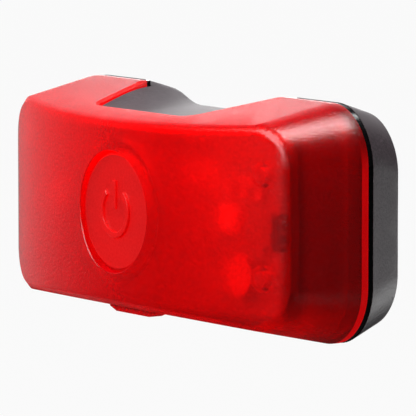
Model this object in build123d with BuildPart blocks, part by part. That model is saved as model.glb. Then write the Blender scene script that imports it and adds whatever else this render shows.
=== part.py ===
from build123d import *
import os

# Helmet rear light. Millimetres, +X to the right seen from the front, -Y forward, +Z up.
# The origin is the middle of the clip's throat, where the helmet's strap lies.
# "Depth" always means the distance forward of the lens's rim plane, so the base has negative depths.

# Clip and base sizes along the depth
throat_gap = 2.6
base_depth = 4.85
gasket_thickness = 0.65
rim_offset = throat_gap / 2 + base_depth + gasket_thickness
gasket_back = -gasket_thickness
base_back = gasket_back - base_depth

# Rim outline, shared by the lens, the gasket and the base
rim_half_width = 28.5
rim_half_height = 12.5
rim_corner = 6.35
rim_band = 0.8

# Lens form
side_taper = 0.264
top_taper = 0.215
corner_taper = 0.22
lens_end_depth = 8.7
front_bow = 4.45
bow_end_inset = 2.3
lens_wall = 1.3
front_edge = 0.6

# Base form: how much narrower, lower and tighter its back is than its rim
base_side_draft = 1.9
base_top_draft = 1.4
base_corner_draft = 0.15
base_wall = 1.3
base_floor = 1.0
base_edge = 0.6
lip_height = 2.25
lip_wall = 0.9
lip_clearance = 0.15
gasket_inset = 0.06

# Notch in the top of the lens, and the shelf of the base that lies in it
notch_depth = 9.4
notch_front_half = 9.2
notch_rim_half = 13.3
notch_corner = 2.4
notch_drop = 4.15
notch_wall = 1.0
notch_edge = 0.3
shelf_clearance = 0.25

# Scoop over the shelf, as three sections from back to front: half width of the floor and its drop below
# the light's top there, half width of the bank's end, its rise above the top and its slope
scoop_back = (10.9, 1.35, 16.8, 0.28, 0.12)
scoop_rim = (5.5, 2.45, 15.0, 0.3, 0.5)
scoop_front = (6.0, 0.65, 12.0, -0.05, 0.25)

# Button in the middle of the front
pocket_radius = 6.5
pocket_depth = 0.65
pocket_chamfer = 0.08
collar_wall = 1.25
collar_end_depth = 9.9
button_clearance = 0.1
button_thickness = 1.2
button_skirt = 1.1
button_flange_reach = 0.4
button_flange = 0.55
button_edge = 0.35
seal_width = 0.6
seal_thickness = 0.4
seal_gap = 0.05
post_radius = 1.3
post_gap = 0.05

# Finger tab under the front edge
tab_root_width = 9.0
tab_tip_width = 6.4
tab_length = 1.6
tab_depth = 8.8
tab_proud = 0.45

# Circuit board and the posts that carry it
board_thickness = 1.0
board_clearance = 0.45
board_hole_radius = 1.0
post_side_inset = 2.7
post_top_inset = 3.9
post_bottom_inset = 4.1
board_post_radius = 1.35
screw_radius = 0.8
screw_clearance = 0.05
screw_head_radius = 1.4
screw_head = 0.8
screw_head_edge = 0.3
screw_bite = 1.5

# Switch on the board, pressed by the button's post
switch_size = 5.0
switch_corner = 0.4
switch_height = 0.8
switch_frame_thickness = 0.2
switch_floor = 0.1
plunger_radius = 1.5
plunger_foot_radius = 2.0
plunger_foot = 0.3
plunger_clearance = 0.1
plunger_gap = 0.05
plunger_proud = 0.25

# Light sources and small parts on the board
led_x = 15.8
led_z = 0.4
led_size = 3.0
led_corner = 0.3
led_height = 0.7
dome_radius = 1.25
dome_height = 0.95
dome_edge = 0.5
chip_inset = 1.4
chip_z = -0.4
chip_width = 1.4
chip_length = 3.8
chip_lift = 0.05
chip_height = 0.4
chip_edge = 0.1
chip_leg = (0.5, 0.35, 0.25)
chip_leg_pitch = 1.27
chip_legs = 3
resistor_places = [(15.4, 3.2), (18.0, 3.2), (20.6, 3.2)]
resistor_size = (2.0, 1.2, 0.5)
capacitor_places = [(12.2, -2.6), (20.9, -2.6), (-9.8, 3.2)]
capacitor_size = (2.2, 1.3, 0.8)
inductor_x = 18.4
inductor_z = -5.2
inductor_radius = 2.2
inductor_waist = 1.75
inductor_flange = 0.35
inductor_height = 1.4

# Coin cell and its contacts
cell_side_wall = 0.9
cell_z = -0.15
cell_radius = 10.0
cell_thickness = 3.2
cell_clearance = 0.15
cell_ledge_gap = 0.05
can_wall = 0.6
can_floor = 0.4
can_edge = 0.3
seal_ring = 0.5
cap_proud = 0.2
strip_thickness = 0.2
strip_half_width = 2.0
strip_start = 3.0
strip_gap = 0.8
strip_pad_length = 2.6
strip_pad_depth = -0.4
strip_bend = 0.3
leaf_thickness = 0.25
leaf_half_width = 1.5
leaf_gap = 0.05
leaf_pad = 3.0
leaf_reach = 3.2
leaf_touch = 1.4
leaf_bend = 0.6
tray_overlap = 1.8
tray_roof_gap = 0.35
tray_roof_half = 18.0

# Clip and its screws
clip_half_width = 8.0
clip_pad_thickness = 1.6
clip_pad_bottom = 2.4
clip_root_z = 7.4
clip_tongue_thickness = 1.5
clip_top_z = 8.8
clip_tip_z = -9.0
clip_bend = 1.6
clip_inner_bend = 0.45
clip_bump = 0.7
clip_bump_z = -7.0
clip_tip_corner = 3.0
clip_screw_x = 3.2
clip_screw_z = 5.0
clip_screw_radius = 0.9
clip_screw_head_radius = 1.7
clip_screw_head = 0.9
clip_screw_length = 4.2
clip_screw_clearance = 0.05
clip_screw_end_gap = 0.3
boss_radius = 2.2
boss_front = -1.0
driver_hole_radius = 2.0

# How far a cutter runs past what it cuts, and how near two sizes are to count as the same
overcut = 1.0
scoop_overcut = 0.25
match = 0.01

# Levels and places worked out from the sizes above
notch_floor = rim_half_height - notch_drop
tray_roof = notch_floor - notch_wall - tray_roof_gap
floor_depth = base_back + base_floor
cell_back_depth = floor_depth + strip_thickness
cell_front_depth = cell_back_depth + cell_thickness
cap_radius = cell_radius - can_wall - seal_ring
front_depth = lens_end_depth + front_bow
bow_half_width = rim_half_width - bow_end_inset
bow_radius = (bow_half_width**2 + front_bow**2) / (2 * front_bow)
board_front_depth = lens_end_depth - lens_wall
board_inset = lens_wall + board_clearance
board_half_width = rim_half_width - side_taper * (board_front_depth - rim_band) - board_inset
board_half_height = rim_half_height - top_taper * (board_front_depth - rim_band) - board_inset
board_back_depth = board_front_depth - board_thickness
post_x = board_half_width - post_side_inset
post_top_z = board_half_height - post_top_inset
post_bottom_z = post_bottom_inset - board_half_height
post_end_depth = front_depth - post_x**2 / (2 * bow_radius) - lens_wall / 2
switch_top_depth = board_front_depth + switch_height
frame_top_depth = switch_top_depth + switch_frame_thickness
plunger_tip_depth = frame_top_depth + plunger_proud
button_face_depth = front_depth - pocket_depth
button_back_depth = button_face_depth - button_thickness
button_radius = pocket_radius - button_clearance
button_flange_radius = pocket_radius + button_flange_reach
seal_radius = pocket_radius + seal_width
flange_front_depth = collar_end_depth - seal_thickness - seal_gap
flange_back_depth = flange_front_depth - button_flange
lip_front_depth = gasket_back + lip_height
floor_share = (base_depth - base_floor) / base_depth
cell_x = cell_side_wall + cell_clearance + cell_radius - rim_half_width + floor_share * base_side_draft
strip_upright_x = cell_x + cell_radius + strip_gap
tray_left_x = strip_upright_x - tray_overlap
chip_x = board_half_width - chip_inset
front_y = -rim_offset - front_depth
back_y = -throat_gap / 2
pad_y = back_y + clip_pad_thickness
post_places = [(x, z) for x in (-post_x, post_x) for z in (post_bottom_z, post_top_z)]
clip_screw_places = [(-clip_screw_x, clip_screw_z), (clip_screw_x, clip_screw_z)]

os.makedirs("parts", exist_ok=True)


def finish(part, name):
    """Names a finished piece and writes it to its own file."""
    part.label = name
    export_step(part, f"parts/{name}.step")


def section(depth):
    """Plane square to Y at a depth ahead of the rim; a sketch on it uses X and Z."""
    return Plane.XZ.offset(rim_offset + depth)


def level(depth):
    """Y of a depth."""
    return -rim_offset - depth


def outside_top(depth):
    """Height of the lens's or the base's top face at a depth."""
    if depth < gasket_back:
        return rim_half_height - base_top_draft * (gasket_back - depth) / base_depth
    return rim_half_height - top_taper * max(depth - rim_band, 0.0)


def lens_outline(depth, inset=0.0, mode=Mode.ADD):
    """Rounded rectangle of the lens's outside at a depth, drawn in by an inset."""
    run = max(depth - rim_band, 0.0)
    RectangleRounded(
        2 * (rim_half_width - side_taper * run - inset),
        2 * (rim_half_height - top_taper * run - inset),
        rim_corner - corner_taper * run - inset,
        mode=mode,
    )


def lens_form(back_depth, ahead_depth, inset=0.0):
    """Solid between two lens outlines."""
    with BuildPart() as form:
        for depth in (back_depth, ahead_depth):
            with BuildSketch(section(depth)):
                lens_outline(depth, inset)
        loft()
    return form.part


def base_form(back_depth, ahead_depth, inset=0.0):
    """Solid of the base's tapering outside between two depths, drawn in by an inset."""
    with BuildPart() as form:
        for depth in (back_depth, ahead_depth):
            share = (gasket_back - depth) / base_depth
            with BuildSketch(section(depth)):
                RectangleRounded(
                    2 * (rim_half_width - share * base_side_draft - inset),
                    2 * (rim_half_height - share * base_top_draft - inset),
                    rim_corner - share * base_corner_draft - inset,
                )
        loft()
    return form.part


def bow_form(inset=0.0):
    """Everything behind the bowed front face, drawn in by an inset."""
    half = rim_half_width + overcut
    front = front_y + inset
    radius = bow_radius - inset
    side = front + radius - (radius**2 - half**2) ** 0.5
    with BuildPart() as form:
        with BuildSketch(Plane.XY.offset(-2 * rim_half_height)):
            with BuildLine():
                ThreePointArc((-half, side), (0, front), (half, side))
                Polyline((half, side), (half, 0), (-half, 0), (-half, side))
            make_face()
        extrude(amount=4 * rim_half_height)
    return form.part


def notch_form(bottom, grow=0.0, back_depth=0.0):
    """Plan of the notch, grown by a wall or shrunk by a clearance, from a height up past the rim."""
    slope = (notch_rim_half - notch_front_half) / notch_depth
    ahead = notch_depth + grow
    front_half = notch_front_half + grow * ((1 + slope**2) ** 0.5 - slope)
    back_half = front_half + slope * (ahead - back_depth)
    with BuildPart() as form:
        with BuildSketch(Plane.XY.offset(bottom)) as plan:
            with BuildLine():
                Polyline(
                    (-front_half, level(ahead)),
                    (front_half, level(ahead)),
                    (back_half, level(back_depth)),
                    (-back_half, level(back_depth)),
                    close=True,
                )
            make_face()
            fillet(plan.vertices().group_by(Axis.Y)[0], notch_corner + grow)
        extrude(amount=rim_half_height + overcut - bottom)
    return form.part


def scoop_form():
    """Fan-shaped valley lofted through three sections, each with S-shaped banks."""
    top = rim_half_height + 2 * overcut
    depths = (base_back - scoop_overcut, 0.0, notch_depth)
    with BuildPart() as form:
        for depth, shape in zip(depths, (scoop_back, scoop_rim, scoop_front)):
            floor_half, floor_drop, bank_half, bank_rise, slope = shape
            floor_z = outside_top(depth) - floor_drop
            bank_z = outside_top(depth) + bank_rise
            with BuildSketch(section(depth)):
                with BuildLine():
                    Line((-floor_half, floor_z), (floor_half, floor_z))
                    Spline((floor_half, floor_z), (bank_half, bank_z), tangents=((1, 0), (1, slope)))
                    Polyline((bank_half, bank_z), (bank_half, top), (-bank_half, top), (-bank_half, bank_z))
                    Spline((-bank_half, bank_z), (-floor_half, floor_z), tangents=((1, -slope), (1, 0)))
                make_face()
        loft()
    return form.part


# Front lens: a tapering shell with a bowed front, a notch for the shelf and a round pocket for the button
lens_blank = lens_form(rim_band, front_depth + overcut)
lens_band = lens_form(0.0, rim_band)
lens_bow = bow_form()
cavity_blank = lens_form(rim_band, front_depth + overcut, lens_wall)
cavity_band = lens_form(-overcut, rim_band, lens_wall)
cavity_bow = bow_form(lens_wall)
notch_envelope = notch_form(notch_floor - notch_wall, notch_wall, -2 * overcut)
notch = notch_form(notch_floor, 0.0, -2 * overcut)

with BuildPart() as lens_cavity:
    add(cavity_blank)
    add(cavity_band)
    add(cavity_bow, mode=Mode.INTERSECT)
    add(notch_envelope, mode=Mode.SUBTRACT)

with BuildPart() as front_lens:
    add(lens_blank)
    add(lens_band)
    add(lens_bow, mode=Mode.INTERSECT)
    chamfer(front_lens.faces().sort_by(Axis.Y)[0].edges(), front_edge)
    add(lens_cavity.part, mode=Mode.SUBTRACT)
    add(notch, mode=Mode.SUBTRACT)

    # Broken edge round the notch, on the outside only
    notch_edges = front_lens.edges().filter_by(
        lambda e: e.center().Z > outside_top(notch_depth) - notch_edge
        and e.center().Z > outside_top(level(0.0) - e.center().Y) - notch_edge
        and abs(e.center().X) < notch_rim_half
        and level(notch_depth + notch_edge) < e.center().Y < level(rim_band / 2)
    )
    chamfer(notch_edges, notch_edge)

    # Collar that guides the button
    with BuildSketch(section(collar_end_depth)):
        Circle(pocket_radius + collar_wall)
    extrude(amount=front_depth - collar_end_depth - lens_wall / 2)
    with BuildSketch(section(collar_end_depth)):
        Circle(pocket_radius)
    extrude(amount=front_depth, mode=Mode.SUBTRACT)
    pocket_width = 2 * pocket_radius
    pocket_rims = front_lens.edges().filter_by(lambda e: abs(e.bounding_box().size.Z - pocket_width) < match)
    chamfer(pocket_rims.sort_by(Axis.Y)[0], pocket_chamfer)

    # Posts that the board is screwed to
    with BuildSketch(section(board_front_depth)):
        with Locations(*post_places):
            Circle(board_post_radius)
    extrude(amount=post_end_depth - board_front_depth)
    with BuildSketch(section(board_front_depth)):
        with Locations(*post_places):
            Circle(screw_radius + screw_clearance)
    extrude(amount=screw_bite + screw_clearance, mode=Mode.SUBTRACT)

    # Finger tab for pulling the lens off
    tab_middle = tab_depth + tab_length / 2
    tab_surface = -(rim_half_height - top_taper * (tab_middle - rim_band))
    with BuildSketch(section(tab_depth)):
        with BuildLine():
            Polyline(
                (-tab_root_width / 2, tab_surface + lens_wall / 2),
                (-tab_root_width / 2, tab_surface),
                (-tab_tip_width / 2, tab_surface - tab_proud),
                (tab_tip_width / 2, tab_surface - tab_proud),
                (tab_root_width / 2, tab_surface),
                (tab_root_width / 2, tab_surface + lens_wall / 2),
                close=True,
            )
        make_face()
    extrude(amount=tab_length)
finish(front_lens.part, "front_lens")

# Button: a cap in the pocket, a skirt in the collar, a flange behind it and a post to the switch
with BuildPart() as mode_button:
    with BuildSketch(section(button_back_depth)):
        Circle(button_radius)
    extrude(amount=button_thickness)
    chamfer(mode_button.edges().group_by(Axis.Y)[0], button_edge)
    with BuildSketch(section(flange_back_depth)):
        Circle(button_radius)
        Circle(button_radius - button_skirt, mode=Mode.SUBTRACT)
    extrude(amount=button_back_depth - flange_back_depth)
    with BuildSketch(section(flange_back_depth)):
        Circle(button_flange_radius)
        Circle(button_radius - button_skirt, mode=Mode.SUBTRACT)
    extrude(amount=button_flange)
    with BuildSketch(section(plunger_tip_depth + post_gap)):
        Circle(post_radius)
    extrude(amount=button_back_depth - plunger_tip_depth - post_gap)
finish(mode_button.part, "mode_button")

# Soft ring between the collar and the button's flange
with BuildPart() as button_seal:
    with BuildSketch(section(collar_end_depth - seal_thickness)):
        Circle(seal_radius)
        Circle(pocket_radius + seal_gap, mode=Mode.SUBTRACT)
    extrude(amount=seal_thickness)
finish(button_seal.part, "button_seal")

# Circuit board, cut back under the notch
board_relief = notch_form(tray_roof, notch_wall + board_clearance, -2 * overcut)
with BuildPart() as circuit_board:
    with BuildSketch(section(board_back_depth)):
        lens_outline(board_front_depth, board_inset)
        with Locations(*post_places):
            Circle(board_hole_radius, mode=Mode.SUBTRACT)
    extrude(amount=board_thickness)
    add(board_relief, mode=Mode.SUBTRACT)
finish(circuit_board.part, "circuit_board")

with BuildPart() as board_screws:
    with BuildSketch(section(board_back_depth - screw_head)):
        with Locations(*post_places):
            Circle(screw_head_radius)
    extrude(amount=screw_head)
    chamfer(board_screws.edges().group_by(Axis.Y)[-1], screw_head_edge)
    with BuildSketch(section(board_back_depth)):
        with Locations(*post_places):
            Circle(screw_radius)
    extrude(amount=board_thickness + screw_bite)
finish(board_screws.part, "board_screws")

# Switch: body with a well, steel frame over it, and the plunger held under the frame
with BuildPart() as switch_body:
    with BuildSketch(section(board_front_depth)):
        Rectangle(switch_size, switch_size)
    extrude(amount=switch_height)
    with BuildSketch(section(board_front_depth + switch_floor)):
        Circle(plunger_foot_radius + plunger_clearance)
    extrude(amount=switch_height, mode=Mode.SUBTRACT)
finish(switch_body.part, "switch_body")

with BuildPart() as switch_frame:
    with BuildSketch(section(switch_top_depth)):
        RectangleRounded(switch_size, switch_size, switch_corner)
        Circle(plunger_radius + plunger_clearance, mode=Mode.SUBTRACT)
    extrude(amount=switch_frame_thickness)
finish(switch_frame.part, "switch_frame")

with BuildPart() as switch_plunger:
    with BuildSketch(section(switch_top_depth - plunger_gap - plunger_foot)):
        Circle(plunger_foot_radius)
    extrude(amount=plunger_foot)
    with BuildSketch(section(switch_top_depth - plunger_gap)):
        Circle(plunger_radius)
    extrude(amount=plunger_tip_depth - switch_top_depth + plunger_gap)
finish(switch_plunger.part, "switch_plunger")

# Light sources, one in each half, with a moulded dome on each
for side, name in ((-1, "left"), (1, "right")):
    with BuildPart() as led:
        with BuildSketch(section(board_front_depth)):
            with Locations((side * led_x, led_z)):
                RectangleRounded(led_size, led_size, led_corner)
        extrude(amount=led_height)
    finish(led.part, f"led_{name}")
    with BuildPart() as dome:
        with BuildSketch(section(board_front_depth + led_height)):
            with Locations((side * led_x, led_z)):
                Circle(dome_radius)
        extrude(amount=dome_height)
        chamfer(dome.edges().group_by(Axis.Y)[0], dome_edge)
    finish(dome.part, f"led_dome_{name}")

# Driver chip with its legs
with BuildPart() as driver_chip:
    with BuildSketch(section(board_front_depth + chip_lift)):
        with Locations((chip_x, chip_z)):
            Rectangle(chip_width, chip_length)
    extrude(amount=chip_height)
    chamfer(driver_chip.faces().sort_by(Axis.Y)[0].edges(), chip_edge)
    with BuildSketch(section(board_front_depth)):
        with Locations((chip_x, chip_z)):
            with GridLocations(chip_width + chip_leg[0], chip_leg_pitch, 2, chip_legs):
                Rectangle(chip_leg[0], chip_leg[1])
    extrude(amount=chip_leg[2])
finish(driver_chip.part, "driver_chip")

with BuildPart() as resistors:
    with BuildSketch(section(board_front_depth)):
        with Locations(*resistor_places):
            Rectangle(resistor_size[0], resistor_size[1])
    extrude(amount=resistor_size[2])
finish(resistors.part, "resistors")

with BuildPart() as capacitors:
    with BuildSketch(section(board_front_depth)):
        with Locations(*capacitor_places):
            Rectangle(capacitor_size[0], capacitor_size[1])
    extrude(amount=capacitor_size[2])
finish(capacitors.part, "capacitors")

# Drum inductor: two flanges with the winding between them
with BuildPart() as inductor:
    for start, height, radius in (
        (0.0, inductor_flange, inductor_radius),
        (inductor_flange, inductor_height - 2 * inductor_flange, inductor_waist),
        (inductor_height - inductor_flange, inductor_flange, inductor_radius),
    ):
        with BuildSketch(section(board_front_depth + start)):
            with Locations((inductor_x, inductor_z)):
                Circle(radius)
        extrude(amount=height)
finish(inductor.part, "inductor")

# Coin cell: can, sealing ring and cap
with BuildPart() as cell_can:
    with BuildSketch(section(cell_back_depth)):
        with Locations((cell_x, cell_z)):
            Circle(cell_radius)
    extrude(amount=cell_thickness - cap_proud)
    chamfer(cell_can.edges().group_by(Axis.Y)[0], can_edge)
    chamfer(cell_can.edges().group_by(Axis.Y)[-1], can_edge)
    with BuildSketch(section(cell_back_depth + can_floor)):
        with Locations((cell_x, cell_z)):
            Circle(cell_radius - can_wall)
    extrude(amount=cell_thickness, mode=Mode.SUBTRACT)
finish(cell_can.part, "cell_can")

with BuildPart() as cell_seal:
    with BuildSketch(section(cell_back_depth + can_floor)):
        with Locations((cell_x, cell_z)):
            Circle(cap_radius + seal_ring)
            Circle(cap_radius, mode=Mode.SUBTRACT)
    extrude(amount=cell_thickness - can_floor - cap_proud)
finish(cell_seal.part, "cell_seal")

with BuildPart() as cell_cap:
    with BuildSketch(section(cell_back_depth + can_floor)):
        with Locations((cell_x, cell_z)):
            Circle(cap_radius)
    extrude(amount=cell_thickness - can_floor)
    chamfer(cell_cap.edges().group_by(Axis.Y)[0], cap_proud / 2)
finish(cell_cap.part, "cell_cap")

# Contact strip under the cell, folded up beside it, and the two leaf contacts on the board's back
strip_line = floor_depth + strip_thickness / 2
with BuildPart() as cell_strip:
    with BuildSketch(Plane.XY.offset(cell_z)) as strip_profile:
        with BuildLine() as strip_path:
            FilletPolyline(
                (cell_x - strip_start, level(strip_line)),
                (strip_upright_x, level(strip_line)),
                (strip_upright_x, level(strip_pad_depth)),
                (strip_upright_x + strip_pad_length, level(strip_pad_depth)),
                radius=strip_bend,
            )
        trace(strip_path.line, strip_thickness)
    extrude(amount=strip_half_width, both=True)
finish(cell_strip.part, "cell_strip")

pad_line = board_back_depth - leaf_thickness / 2
strip_pad_front = strip_pad_depth + strip_thickness / 2
strip_pad_x = strip_upright_x + strip_pad_length
for name, tip_x, touch_depth in (
    ("contact_negative", cell_x, cell_front_depth),
    ("contact_positive", strip_pad_x, strip_pad_front),
):
    touch_line = touch_depth + leaf_gap + leaf_thickness / 2
    with BuildPart() as leaf:
        with BuildSketch(Plane.XY.offset(cell_z)):
            with BuildLine() as leaf_path:
                FilletPolyline(
                    (tip_x - leaf_reach - leaf_pad, level(pad_line)),
                    (tip_x - leaf_reach, level(pad_line)),
                    (tip_x - leaf_touch, level(touch_line)),
                    (tip_x, level(touch_line)),
                    radius=leaf_bend,
                )
            trace(leaf_path.line, leaf_thickness)
        extrude(amount=leaf_half_width, both=True)
    finish(leaf.part, name)

# Gasket between the rims, dipping under the shelf
gasket_notch = notch_form(notch_floor, 0.0, gasket_back - overcut)
with BuildPart() as gasket_window:
    with BuildSketch(section(gasket_back)):
        lens_outline(0.0, lens_wall)
    extrude(amount=gasket_thickness)
    add(notch_envelope, mode=Mode.SUBTRACT)

with BuildPart() as lens_gasket:
    with BuildSketch(section(gasket_back)):
        lens_outline(0.0, gasket_inset)
    extrude(amount=gasket_thickness)
    add(gasket_window.part, mode=Mode.SUBTRACT)
    add(gasket_notch, mode=Mode.SUBTRACT)
finish(lens_gasket.part, "lens_gasket")

# Base: tapering tray with a lip inside the lens, a shelf in the lens's notch and a scoop over both
base_blank = base_form(base_back, gasket_back)
base_hollow = base_form(floor_depth, gasket_back, base_wall)
lip_relief = notch_form(notch_floor - notch_wall - lip_clearance, notch_wall + lip_clearance, gasket_back)
shelf = notch_form(notch_floor + shelf_clearance, -shelf_clearance, gasket_back)
scoop = scoop_form()

with BuildPart() as tray_hollow:
    add(base_hollow)
    with BuildSketch(section(gasket_back)):
        lens_outline(lip_front_depth, lens_wall + lip_clearance + lip_wall)
    extrude(amount=lip_height + overcut)
    with BuildSketch(Plane.XY.offset(-2 * rim_half_height)):
        with Locations((tray_left_x - rim_half_width, level(0))):
            Rectangle(2 * rim_half_width, 4 * rim_offset)
    extrude(amount=4 * rim_half_height, mode=Mode.SUBTRACT)
    with BuildSketch(Plane.XY.offset(tray_roof)):
        with Locations((0, level(0))):
            Rectangle(2 * tray_roof_half, 4 * rim_offset)
    extrude(amount=rim_half_height, mode=Mode.SUBTRACT)

# Well for the cell, with a ledge under the shelf's corner that the cell slips behind
ledge_depth = cell_front_depth + cell_ledge_gap
ledge = notch_form(notch_floor - notch_wall, notch_wall, ledge_depth)
with BuildPart() as cell_well:
    with BuildSketch(section(floor_depth)):
        with Locations((cell_x, cell_z)):
            Circle(cell_radius + cell_clearance)
    extrude(amount=lip_front_depth - floor_depth + overcut)
    add(ledge, mode=Mode.SUBTRACT)

with BuildPart() as base_housing:
    add(base_blank)
    chamfer(base_housing.faces().sort_by(Axis.Y)[-1].edges(), base_edge)
    with BuildSketch(section(gasket_back)):
        lens_outline(lip_front_depth, lens_wall + lip_clearance)
    extrude(amount=lip_height)
    add(lip_relief, mode=Mode.SUBTRACT)
    add(tray_hollow.part, mode=Mode.SUBTRACT)
    add(cell_well.part, mode=Mode.SUBTRACT)

    # Bosses for the clip's screws
    with BuildSketch(section(floor_depth)):
        with Locations(*clip_screw_places):
            Circle(boss_radius)
    extrude(amount=boss_front - floor_depth)
    with BuildSketch(section(base_back)):
        with Locations(*clip_screw_places):
            Circle(clip_screw_radius + clip_screw_clearance)
    extrude(amount=clip_screw_length - clip_pad_thickness + clip_screw_end_gap, mode=Mode.SUBTRACT)

    add(shelf)
    add(scoop, mode=Mode.SUBTRACT)
finish(base_housing.part, "base_housing")

# Clip: pad on the base's back, a bend over the top and a tongue that hangs behind the strap
with BuildPart() as helmet_clip:
    with BuildSketch(Plane.YZ) as clip_profile:
        with BuildLine():
            Polyline(
                (back_y, clip_pad_bottom),
                (back_y, clip_top_z),
                (throat_gap / 2 + clip_tongue_thickness, clip_top_z),
                (throat_gap / 2 + clip_tongue_thickness, clip_tip_z),
                (throat_gap / 2, clip_tip_z),
                (throat_gap / 2, clip_root_z),
                (pad_y, clip_root_z),
                (pad_y, clip_pad_bottom),
                close=True,
            )
        make_face()
        with Locations((throat_gap / 2, clip_bump_z)):
            Circle(clip_bump)
        fillet(clip_profile.vertices().group_by(Axis.Y)[-1].sort_by(Axis.X)[-1], clip_bend)
        inner = clip_profile.vertices().filter_by(lambda v: abs(v.Z - clip_root_z) < match)
        fillet(inner, clip_inner_bend)
    extrude(amount=clip_half_width, both=True)
    tip_edges = helmet_clip.edges().filter_by(Axis.Y).group_by(Axis.Z)[0]
    fillet(tip_edges, clip_tip_corner)
    with BuildSketch(Plane.XZ.offset(-throat_gap / 2)):
        with Locations(*clip_screw_places):
            Circle(driver_hole_radius)
    extrude(amount=-2 * clip_tongue_thickness, mode=Mode.SUBTRACT)
    with Locations(Plane.XZ.offset(-pad_y)):
        with Locations(*clip_screw_places):
            CounterSinkHole(
                clip_screw_radius + clip_screw_clearance,
                clip_screw_head_radius + clip_screw_clearance,
                clip_pad_thickness,
            )
finish(helmet_clip.part, "helmet_clip")

with BuildPart() as clip_screws:
    with BuildSketch(Plane.XZ.offset(-pad_y)):
        with Locations(*clip_screw_places):
            Circle(clip_screw_radius)
    extrude(amount=clip_screw_length)
    for place in clip_screw_places:
        with BuildSketch(Plane.XZ.offset(-pad_y)):
            with Locations(place):
                Circle(clip_screw_head_radius)
        with BuildSketch(Plane.XZ.offset(-pad_y + clip_screw_head)):
            with Locations(place):
                Circle(clip_screw_radius)
        loft()
finish(clip_screws.part, "clip_screws")
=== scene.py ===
"""Finished look of a helmet rear light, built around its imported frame.

Lengths are metres in the frame's own axes: +X right seen from the front, -Y out of the lens, +Z up.
"""

from __future__ import annotations

import logging
import math
from dataclasses import dataclass, field
from enum import Enum
from typing import Callable

import bmesh
import bpy
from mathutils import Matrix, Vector

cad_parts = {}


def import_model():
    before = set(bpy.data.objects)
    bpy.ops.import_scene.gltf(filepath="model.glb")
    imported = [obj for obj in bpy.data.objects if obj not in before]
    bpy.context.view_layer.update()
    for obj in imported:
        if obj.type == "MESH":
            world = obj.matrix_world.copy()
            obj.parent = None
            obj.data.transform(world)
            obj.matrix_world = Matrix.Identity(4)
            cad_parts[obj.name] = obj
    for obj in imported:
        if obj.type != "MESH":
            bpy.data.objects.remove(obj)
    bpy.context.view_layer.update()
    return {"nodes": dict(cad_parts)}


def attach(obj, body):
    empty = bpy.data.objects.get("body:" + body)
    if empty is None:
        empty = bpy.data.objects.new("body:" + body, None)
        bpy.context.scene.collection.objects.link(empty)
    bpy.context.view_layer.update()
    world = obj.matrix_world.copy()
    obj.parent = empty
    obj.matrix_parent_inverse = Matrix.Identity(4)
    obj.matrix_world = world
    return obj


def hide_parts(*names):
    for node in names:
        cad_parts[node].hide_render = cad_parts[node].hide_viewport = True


LOG = logging.getLogger("rear_light")
MM = 0.001

# Points of the frame's loose triangles that lie closer than this are one point
MERGE = 0.002 * MM
# Places that agree to this many decimals of a metre, a hundredth of a millimetre, count as level
LEVEL_DIGITS = 5
# Margin for a face whose middle is compared with a size
HAIR = 0.01 * MM
# Edges of a turned solid that bend less than this look round
TURNED_CREASE = math.radians(35)

# Faces of the rim, the notch walls and the posts, picked with the sizes below, get a painted glow
# The lens's open end lies at y = -RIM_Y, and depths count from there towards its front. A tilt is how
# much of a face's normal may point along Y on the rim and the posts, and along Z in the notch
RIM_Y = 6.8 * MM
RIM_DEPTH = 0.82 * MM
RIM_TILT = 0.3
RIM_TOP = 0.98
NOTCH_FLOOR_Z = 8.4 * MM
NOTCH_HALF_WIDTH = 13.5 * MM
NOTCH_DEPTH = 9.6 * MM
NOTCH_TILT = 0.8
# The lens's upright front corners, from where their painted shade begins to where it is full
CORNER_X = (24.6 * MM, 26.2 * MM)
CORNER_FRONT_Y = (-16.4 * MM, -15.4 * MM)
CORNER_BACK_Y = (-12.6 * MM, -14.8 * MM)
# Posts inside the lens that the board is screwed to
POST_X = 22.31 * MM
POST_HIGH_Z = 5.43 * MM
POST_LOW_Z = -5.23 * MM
POST_RADIUS = 1.4 * MM
POST_TILT = 0.5
# Driver chip, without its legs
CHIP_X = 23.6 * MM
CHIP_HALF = 0.7 * MM

# A spark-eroded grain is about 0.1 mm from bump to bump. That is too fine to show here, so it is drawn
# about three times as coarse, which gives the eye the speckle of a satin skin.
LENS_GRAIN = 0.28 * MM
BASE_GRAIN = 0.27 * MM
# The noise behind every relief: most of its values lie between these two
NOISE_SPAN = (0.3, 0.7)
NOISE_ROUGHNESS = 0.6
# Marks of brushing and rolling run along Z, where the pattern is shrunk to this and so 25 times as long
BRUSHED_SCALE = 0.04

# The Mix node's sockets for colours
COLOUR_A, COLOUR_B, COLOUR_OUT = 6, 7, 2


def linear(hex_colour: str) -> tuple[float, float, float, float]:
    """Turns an sRGB hex colour into linear light.

    Args:
        hex_colour: Six hex digits, such as "d01018".

    Returns:
        Red, green, blue and an alpha of one.
    """
    channels = [int(hex_colour[i : i + 2], 16) / 255 for i in (0, 2, 4)]
    bent = [c / 12.92 if c <= 0.04045 else ((c + 0.055) / 1.055) ** 2.4 for c in channels]
    return (*bent, 1.0)


def add_node(
    tree: bpy.types.NodeTree,
    kind: str,
    settings: dict | None = None,
    values: dict | None = None,
    links: dict | None = None,
) -> bpy.types.Node:
    """Adds a node with its settings, socket values and incoming links.

    Args:
        tree: Node tree of a material or a geometry group.
        kind: Blender's name for the node's type.
        settings: Attributes of the node itself.
        values: Default values, by input name or index.
        links: Output sockets that feed inputs, by input name or index.

    Returns:
        The new node.
    """
    node = tree.nodes.new(kind)
    for name, value in (settings or {}).items():
        setattr(node, name, value)
    for key, value in (values or {}).items():
        node.inputs[key].default_value = value
    for key, socket in (links or {}).items():
        tree.links.new(socket, node.inputs[key])
    return node


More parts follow.
